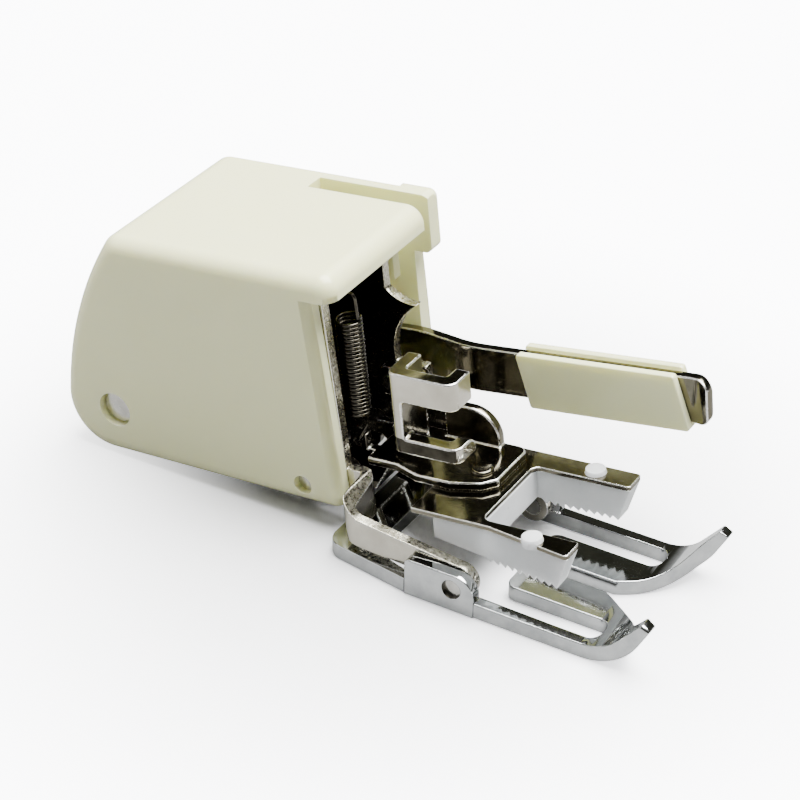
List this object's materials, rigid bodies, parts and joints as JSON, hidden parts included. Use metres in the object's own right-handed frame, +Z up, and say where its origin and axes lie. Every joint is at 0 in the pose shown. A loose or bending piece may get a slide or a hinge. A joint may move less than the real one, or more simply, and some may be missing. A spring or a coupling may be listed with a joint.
{
  "type": "walking presser foot",
  "caption": "Low-shank walking presser foot: skid sole on a hinge, slotted clamp head, ivory cover and a side lever that drops toothed feed pads through the sole.",
  "frame": {"origin": "underside of the sole's heel bar, on the middle plane of the sole", "axes": "+X towards the toes, +Y to the lever's side, +Z up from the sole's underside"},
  "size_m": [0.077, 0.0294, 0.0312],
  "materials": {
    "ivory_plastic": "glossy moulded",
    "chrome": "bright plated",
    "nickel_plate": "bright nickel plated",
    "turned_steel": "satin",
    "spring_steel": "dark drawn wire",
    "white_nylon": "translucent moulded"
  },
  "bodies": {
    "housing": {"cover": "ivory_plastic", "main_frame": "nickel_plate", "attachment_head": "nickel_plate", "head_rivets": "turned_steel", "lever_shaft": "turned_steel", "shaft_clip": "turned_steel", "pivot_pin": "turned_steel", "spring_bar": "turned_steel", "sole_pins": "turned_steel", "lift_spring": "spring_steel", "lever_spring": "spring_steel"},
    "sole": {"sole_plate": "chrome"},
    "lever": {"lever_arm": "nickel_plate", "lever_sleeve": "ivory_plastic", "lever_hub": "turned_steel", "crank_pin": "turned_steel", "crank_roller": "turned_steel"},
    "rocker": {"lift_rocker": "turned_steel", "guide_pin": "turned_steel", "feed_spring": "spring_steel"},
    "feed": {"feed_carrier": "nickel_plate", "feed_plate": "nickel_plate", "feed_pads": "white_nylon", "carrier_rivet": "turned_steel"}
  },
  "joints": [
    {"name": "sole_tilt", "type": "hinge", "parent": "housing", "child": "sole", "pos_m": [0.014, 0, 0.0027], "axis": [0, -1, 0], "range_deg": [-2, 14]},
    {"name": "lever_swing", "type": "hinge", "parent": "housing", "child": "lever", "pos_m": [-0.03307, 0, 0.00604], "axis": [0, -1, 0], "range_deg": [0, 19], "stiffness_Nm_per_rad": 0.05, "springref_deg": -11.46, "deforming": ["lever_spring"]},
    {"name": "rocker_lift", "type": "hinge", "parent": "housing", "child": "rocker", "pos_m": [-0.00778, 0, 0.00487], "axis": [0, -1, 0], "range_deg": [-8.2, 0], "deforming": ["lift_spring"]},
    {"name": "feed_slide", "type": "slide", "parent": "rocker", "child": "feed", "axis": [0.9937, 0, 0.1123], "range_m": [-0.003, 0], "stiffness_N_per_m": 200, "springref_m": 0.005, "deforming": ["feed_spring"]}
  ],
  "couplings": [
    {"joint": "rocker_lift", "follows": "lever_swing", "ratio": -0.425}
  ]
}
